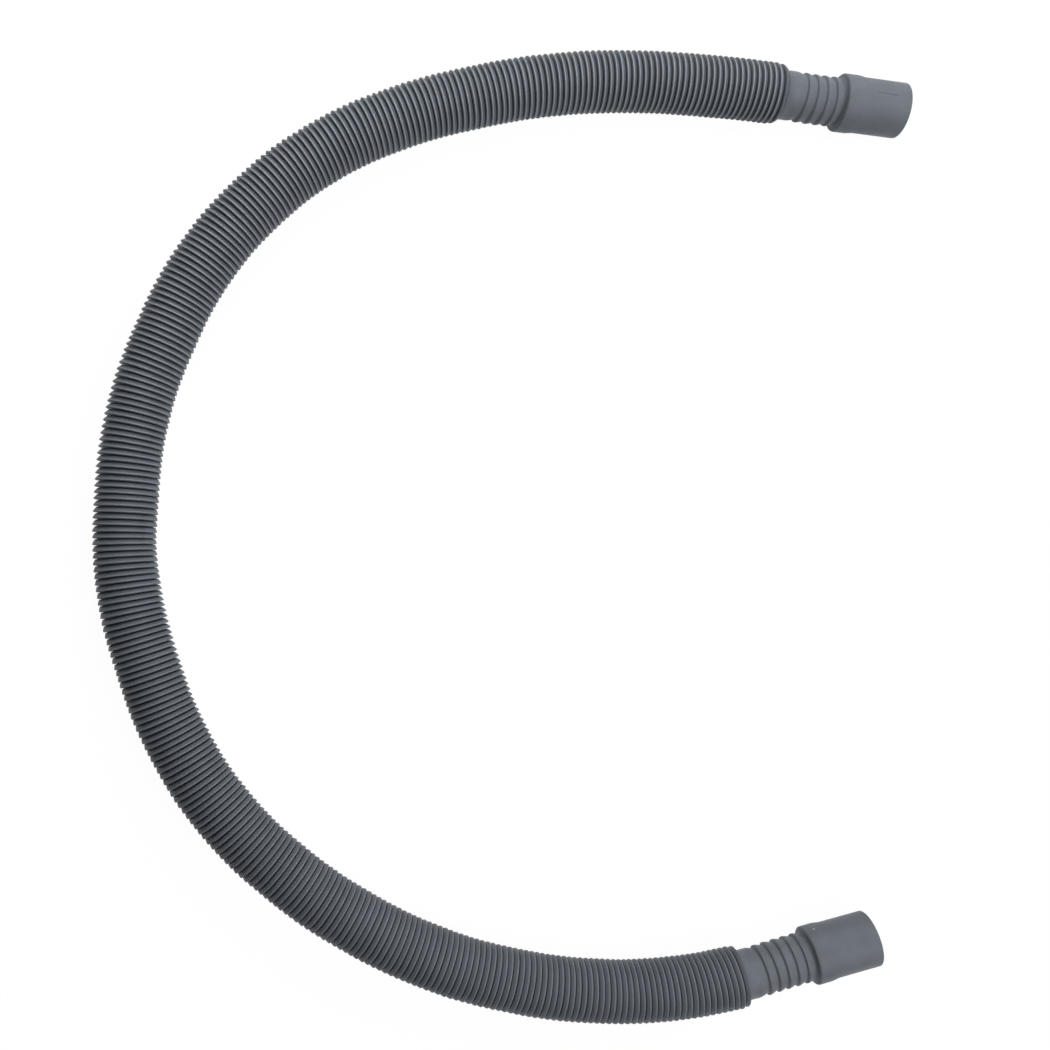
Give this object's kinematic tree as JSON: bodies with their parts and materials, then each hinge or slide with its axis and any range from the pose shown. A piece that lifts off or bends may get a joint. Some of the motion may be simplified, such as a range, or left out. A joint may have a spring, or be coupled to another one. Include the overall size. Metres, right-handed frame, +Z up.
{
  "type": "washing machine drain hose extension",
  "caption": "Folded grey plastic hose with a plain round cuff at each end, which lengthens a washing machine's drain hose and lies in an open bend.",
  "frame": {"origin": "on the floor, below the middle of the hose's box as it lies", "axes": "+Z is up from the floor, +Y runs across the bend from the second cuff's side to the first cuff's side, and the bend opens towards +X"},
  "size_m": [0.4351, 0.5195, 0.032],
  "materials": {
    "hose_plastic": "moulded polypropylene, satin grey with a fine mould texture"
  },
  "bodies": {
    "root": {"drain_hose_extension": "hose_plastic"}
  },
  "joints": []
}
